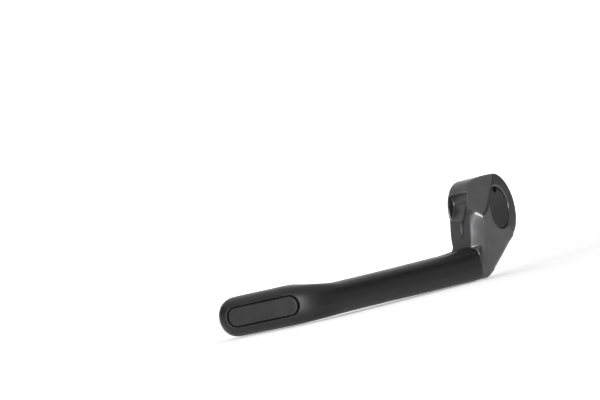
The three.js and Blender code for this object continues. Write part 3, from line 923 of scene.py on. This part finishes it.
# ---------------------------------------------------------------- node-built pieces
class NodeBuilder:
    """Small helper that lays out a geometry-node tree and bakes it to a mesh."""

    def __init__(self, name: str, sizes: dict[str, float]) -> None:
        """Makes an empty tree with one named number input for each size."""
        self.tree = bpy.data.node_groups.new(name, "GeometryNodeTree")
        self.sizes = sizes
        self.sockets = {
            key: self.tree.interface.new_socket(name=key, in_out="INPUT", socket_type="NodeSocketFloat")
            for key in sizes
        }
        self.tree.interface.new_socket(name="Geometry", in_out="OUTPUT", socket_type="NodeSocketGeometry")
        self.start = self.tree.nodes.new("NodeGroupInput")
        self.end = self.tree.nodes.new("NodeGroupOutput")

    def node(self, kind: str, **settings: object) -> bpy.types.Node:
        """Adds a node and sets its own properties."""
        made = self.tree.nodes.new(kind)
        for key, value in settings.items():
            setattr(made, key, value)
        return made

    def link(self, source: bpy.types.NodeSocket, target: bpy.types.NodeSocket) -> None:
        """Joins two sockets."""
        self.tree.links.new(source, target)

    def size(self, name: str) -> bpy.types.NodeSocket:
        """The tree's input of that name."""
        return self.start.outputs[name]

    def math(self, operation: str, a: bpy.types.NodeSocket,
             b: bpy.types.NodeSocket | float) -> bpy.types.NodeSocket:
        """Adds one operation on two numbers and returns its result."""
        made = self.node("ShaderNodeMath", operation=operation)
        self.link(a, made.inputs[0])
        if isinstance(b, (int, float)):
            made.inputs[1].default_value = b
        else:
            self.link(b, made.inputs[1])
        return made.outputs[0]

    def finish(self, geometry: bpy.types.NodeSocket, material: bpy.types.Material) -> None:
        """Realizes instances, sets the material and closes the tree."""
        real = self.node("GeometryNodeRealizeInstances")
        dressed = self.node("GeometryNodeSetMaterial")
        dressed.inputs["Material"].default_value = material
        self.link(geometry, real.inputs["Geometry"])
        self.link(real.outputs["Geometry"], dressed.inputs["Geometry"])
        self.link(dressed.outputs["Geometry"], self.end.inputs["Geometry"])

    def bake(self, name: str, place_at: Matrix, sizes: dict[str, float] | None = None) -> bpy.types.Object:
        """Evaluates the tree on an empty mesh and keeps the result as a plain mesh.

        Args:
            name: The piece's name.
            place_at: Where the result goes, in metres.
            sizes: Sizes that differ from the tree's own.

        Returns:
            The piece, at the origin with its place in its mesh.
        """
        holder = bpy.data.objects.new(f"{name}_holder", bpy.data.meshes.new(f"{name}_holder"))
        bpy.context.scene.collection.objects.link(holder)
        modifier = holder.modifiers.new("build", "NODES")
        modifier.node_group = self.tree
        for key, value in {**self.sizes, **(sizes or {})}.items():
            modifier[self.sockets[key].identifier] = float(value)
        bpy.context.view_layer.update()
        graph = bpy.context.evaluated_depsgraph_get()
        mesh = bpy.data.meshes.new_from_object(holder.evaluated_get(graph))
        bpy.data.objects.remove(holder)
        mesh.name = name
        mesh.transform(place_at)
        mesh.polygons.foreach_set("use_smooth", np.ones(len(mesh.polygons), bool))
        mesh.set_sharp_from_angle(angle=math.radians(32))
        piece = bpy.data.objects.new(name, mesh)
        bpy.context.scene.collection.objects.link(piece)
        return piece


@dataclass
class Screws:
    """The socket-head screws, all from one tree: two in the arm and one behind the pad."""

    arm: Arm

    def tree(self) -> NodeBuilder:
        """Lays out a screw that points down from its head's top at the origin.

        Returns:
            The tree, with inputs for the head, shank and socket in metres.
        """
        sizes = {
            "Head Radius": 3.7, "Cone Height": 1.9, "Land": 0.35, "Shank Radius": 1.9, "Length": 10.0,
            "Socket Radius": 1.45, "Socket Depth": 1.6,
        }
        build = NodeBuilder("socket_screw", {key: value * MM for key, value in sizes.items()})

        def round_piece(low: bpy.types.NodeSocket, high: bpy.types.NodeSocket, height: bpy.types.NodeSocket,
                        base: bpy.types.NodeSocket, sides: int) -> bpy.types.NodeSocket:
            """A cone frustum from its base height upwards."""
            cone = build.node("GeometryNodeMeshCone")
            cone.inputs["Vertices"].default_value = sides
            build.link(low, cone.inputs["Radius Bottom"])
            build.link(high, cone.inputs["Radius Top"])
            build.link(height, cone.inputs["Depth"])
            lift = build.node("ShaderNodeCombineXYZ")
            build.link(base, lift.inputs["Z"])
            move = build.node("GeometryNodeTransform")
            build.link(cone.outputs["Mesh"], move.inputs["Geometry"])
            build.link(lift.outputs[0], move.inputs["Translation"])
            return move.outputs["Geometry"]

        head, shank = build.size("Head Radius"), build.size("Shank Radius")
        land_base = build.math("MULTIPLY", build.size("Land"), -1.0)
        cone_base = build.math("SUBTRACT", land_base, build.size("Cone Height"))
        shank_base = build.math("MULTIPLY", build.size("Length"), -1.0)
        shank_height = build.math("ADD", build.math("SUBTRACT", cone_base, shank_base), 0.0001)
        rim = build.math("SUBTRACT", head, 0.00012)
        chamfer = build.math("MULTIPLY", build.size("Land"), 0.4)
        land_height = build.math("SUBTRACT", build.size("Land"), chamfer)
        chamfer_base = build.math("MULTIPLY", chamfer, -1.0)
        pieces = [
            round_piece(head, rim, chamfer, chamfer_base, 72),
            round_piece(head, head, land_height, land_base, 72),
            round_piece(shank, head, build.size("Cone Height"), cone_base, 72),
            round_piece(shank, shank, shank_height, shank_base, 72),
        ]
        union = build.node("GeometryNodeMeshBoolean", operation="UNION")
        for piece in pieces:
            build.link(piece, union.inputs["Mesh 2"])
        key_size, key_depth = build.size("Socket Radius"), build.size("Socket Depth")
        key_base = build.math("MULTIPLY", key_depth, -1.0)
        key_height = build.math("ADD", key_depth, 0.001)
        key = round_piece(key_size, key_size, key_height, key_base, 6)
        drilled = build.node("GeometryNodeMeshBoolean", operation="DIFFERENCE")
        build.link(union.outputs["Mesh"], drilled.inputs["Mesh 1"])
        build.link(key, drilled.inputs["Mesh 2"])
        build.finish(drilled.outputs["Mesh"], OXIDE.material())
        return build

    def build(self) -> list[tuple[bpy.types.Object, str, Finish]]:
        """Bakes the three screws.

        Returns:
            Each piece with its node and finish.
        """
        layout, arm, build = self.arm.layout, self.arm, self.tree()
        made = []
        for name, station in zip(("near", "far"), arm.screw_places):
            spot = Vector(layout.joint) + layout.arm_direction * station
            spot.z += arm.top - 0.3
            piece = build.bake(f"arm_screw_{name}", Matrix.Translation(spot * MM))
            made.append((piece, f"arm_fixing_screw_{name}", OXIDE))
        low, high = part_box("badge_fixing_screw")
        sizes = {
            "Head Radius": 1.45, "Cone Height": 0.6, "Land": 7.5, "Shank Radius": 0.8,
            "Length": (high.y - low.y) / MM, "Socket Radius": 0.75, "Socket Depth": 1.3,
        }
        centre = Vector(((low.x + high.x) / 2, low.y, (low.z + high.z) / 2))
        turn = Matrix.Rotation(math.radians(90), 4, "X")
        piece = build.bake(
            "pad_screw", Matrix.Translation(centre) @ turn, {key: value * MM for key, value in sizes.items()},
        )
        made.append((piece, "badge_fixing_screw", BRIGHT_OXIDE))
        return made


@dataclass
class CordRing:
    """The rubber ring in the cap's groove: a round cord swept along a circle."""

    layout: Layout
    radius: float = 8.05
    cord: float = 0.45
    from_outer: float = 4.45

    def build(self) -> bpy.types.Object:
        """Bakes the ring on the bar's axis.

        Returns:
            Its mesh object.
        """
        build = NodeBuilder("cord_ring", {"Ring Radius": self.radius * MM, "Cord Radius": self.cord * MM})
        path = build.node("GeometryNodeCurvePrimitiveCircle")
        path.inputs["Resolution"].default_value = 160
        section = build.node("GeometryNodeCurvePrimitiveCircle")
        section.inputs["Resolution"].default_value = 24
        build.link(build.size("Ring Radius"), path.inputs["Radius"])
        build.link(build.size("Cord Radius"), section.inputs["Radius"])
        sweep = build.node("GeometryNodeCurveToMesh")
        build.link(path.outputs["Curve"], sweep.inputs["Curve"])
        build.link(section.outputs["Curve"], sweep.inputs["Profile Curve"])
        build.finish(sweep.outputs["Mesh"], RUBBER.material())
        centre = Vector((self.layout.outer + self.from_outer, 0, 0)) * MM
        turn = Matrix.Rotation(math.radians(90), 4, "Y")
        return build.bake("cap_cord_ring", Matrix.Translation(centre) @ turn)


# ---------------------------------------------------------------- studio
@dataclass
class Studio:
    """Pale floor, soft lights and the camera."""

    camera_at: Point = (-0.39107, 0.7206, -0.00989)
    look_at: Point = (0.0507, 0.060, 0.02339)
    roll: float = 12.587
    lens: float = 102.0
    floor_gap: float = 0.0002
    horizon_light: float = 0.3
    overhead_light: float = 0.75
    wash: float = 1.8
    floor_glow: float = 0.32
    box_at: Point = (-0.14, 1.14, 0.1)
    box_aim: Point = (0.015, 0.12, -0.02)
    box_size: tuple[float, float] = (0.12, 0.3)
    box_watts: float = 11.0
    wash_angle: float = 120.0
    floor_radius: float = 6.0
    sheet_away: float = 1.6
    sheet_half: float = 1.0

    def camera(self) -> None:
        """Sets the camera at the viewing angle, with the guard low on the right."""
        data = bpy.data.cameras.new("view")
        data.sensor_width = 36.0
        data.lens = self.lens
        data.clip_start = 0.01
        holder = bpy.data.objects.new("view", data)
        at, aim = Vector(self.camera_at), Vector(self.look_at)
        facing = (aim - at).to_track_quat("-Z", "Y").to_matrix().to_4x4()
        tilt = Matrix.Rotation(math.radians(-self.roll), 4, "Z")
        holder.matrix_world = Matrix.Translation(at) @ facing @ tilt
        bpy.context.scene.collection.objects.link(holder)
        bpy.context.scene.camera = holder

    def floor(self, height: float) -> None:
        """Lays a pale round floor under the guard.

        Args:
            height: The guard's lowest point, in metres.
        """
        mesh = bpy.data.meshes.new("studio_floor")
        count, radius = 96, self.floor_radius
        rim = [
            (radius * math.cos(2 * math.pi * i / count), radius * math.sin(2 * math.pi * i / count),
             height - self.floor_gap)
            for i in range(count)
        ]
        mesh.from_pydata(rim, [], [tuple(range(count))])
        floor = bpy.data.objects.new("studio_floor", mesh)
        bpy.context.scene.collection.objects.link(floor)
        paint = bpy.data.materials.new("pale_floor")
        paint.use_nodes = True
        shader = paint.node_tree.nodes["Principled BSDF"]
        shader.inputs["Base Color"].default_value = (0.86, 0.86, 0.86, 1)
        shader.inputs["Roughness"].default_value = 0.9
        shader.inputs["Specular IOR Level"].default_value = 0.1
        shader.inputs["Emission Color"].default_value = (1, 1, 1, 1)
        shader.inputs["Emission Strength"].default_value = self.floor_glow
        mesh.materials.append(paint)

    def area(self, name: str, at: Point, aim: Point, size: tuple[float, float], power: float) -> None:
        """Adds one soft box.

        Args:
            name: The light's name.
            at: Its place in metres.
            aim: Where it points.
            size: Width and height in metres.
            power: Watts.
        """
        data = bpy.data.lights.new(name, "AREA")
        data.shape = "RECTANGLE"
        data.size, data.size_y = size
        data.energy = power
        light = bpy.data.objects.new(name, data)
        light.matrix_world = Matrix.Translation(at) @ (
            (Vector(aim) - Vector(at)).to_track_quat("-Z", "Y").to_matrix().to_4x4()
        )
        bpy.context.scene.collection.objects.link(light)

    def lights(self) -> None:
        """Adds the dim surround, one soft box in front and a wide wash from above."""
        world = bpy.data.worlds.new("studio_surround")
        world.use_nodes = True
        nodes, links = world.node_tree.nodes, world.node_tree.links
        where = nodes.new("ShaderNodeTexCoord")
        split = nodes.new("ShaderNodeSeparateXYZ")
        shade = nodes.new("ShaderNodeMapRange")
        shade.inputs["From Min"].default_value = -0.1
        shade.inputs["From Max"].default_value = 0.9
        shade.inputs["To Min"].default_value = self.horizon_light
        shade.inputs["To Max"].default_value = self.overhead_light
        links.new(where.outputs["Generated"], split.inputs[0])
        links.new(split.outputs["Z"], shade.inputs["Value"])
        links.new(shade.outputs["Result"], nodes["Background"].inputs["Strength"])
        bpy.context.scene.world = world
        bpy.context.scene.view_settings.view_transform = "Standard"
        self.area("front_box", self.box_at, self.box_aim, self.box_size, self.box_watts)
        sun = bpy.data.lights.new("ceiling_wash", "SUN")
        sun.energy = self.wash
        sun.angle = math.radians(self.wash_angle)
        bpy.context.scene.collection.objects.link(bpy.data.objects.new("ceiling_wash", sun))

    def sheet(self) -> None:
        """Hangs a pale lit sheet behind the guard, square to the camera."""
        aim, at = Vector(self.look_at), Vector(self.camera_at)
        away = (aim - at).normalized()
        right = away.cross(Vector((0, 0, 1))).normalized()
        rise = right.cross(away)
        middle = aim + away * self.sheet_away
        signs = ((-1, -1), (1, -1), (1, 1), (-1, 1))
        corners = [middle + (right * a + rise * b) * self.sheet_half for a, b in signs]
        mesh = bpy.data.meshes.new("studio_sheet")
        mesh.from_pydata(corners, [], [(0, 1, 2, 3)])
        sheet = bpy.data.objects.new("studio_sheet", mesh)
        bpy.context.scene.collection.objects.link(sheet)
        paint = bpy.data.materials.new("lit_sheet")
        paint.use_nodes = True
        shader = paint.node_tree.nodes["Principled BSDF"]
        shader.inputs["Base Color"].default_value = (0.8, 0.8, 0.8, 1)
        shader.inputs["Emission Color"].default_value = (1, 1, 1, 1)
        shader.inputs["Emission Strength"].default_value = 0.9
        mesh.materials.append(paint)

    def build(self, height: float) -> None:
        """Sets up camera, floor and lights."""
        self.camera()
        self.floor(height)
        self.sheet()
        self.lights()


def main() -> None:
    """Builds the guard piece by piece around the frame."""
    logging.basicConfig(level=logging.INFO, format="%(message)s")
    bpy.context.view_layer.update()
    layout, lean = Layout(), Lean()
    arm = Arm(layout)
    Studio().build(min(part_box(name)[0].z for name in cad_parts))
    place(Adapter(layout, lean).build(), "bar_end_adapter", Body.GUARD, ANODISED)
    place(arm.build(), "guard_arm", Body.GUARD, MOULDED)
    place(Cap(layout).build(), "hub_cover_cap", Body.CAP, CAP_FINISH)
    place(CordRing(layout).build(), "cap_retaining_ring", Body.CAP, RUBBER)
    place(Pad(arm).build(), "paddle_badge", Body.GUARD, PAD_FINISH)
    for piece, node, finish in Screws(arm).build():
        place(piece, node, Body.GUARD, finish)


if __name__ == "__main__":
    main()
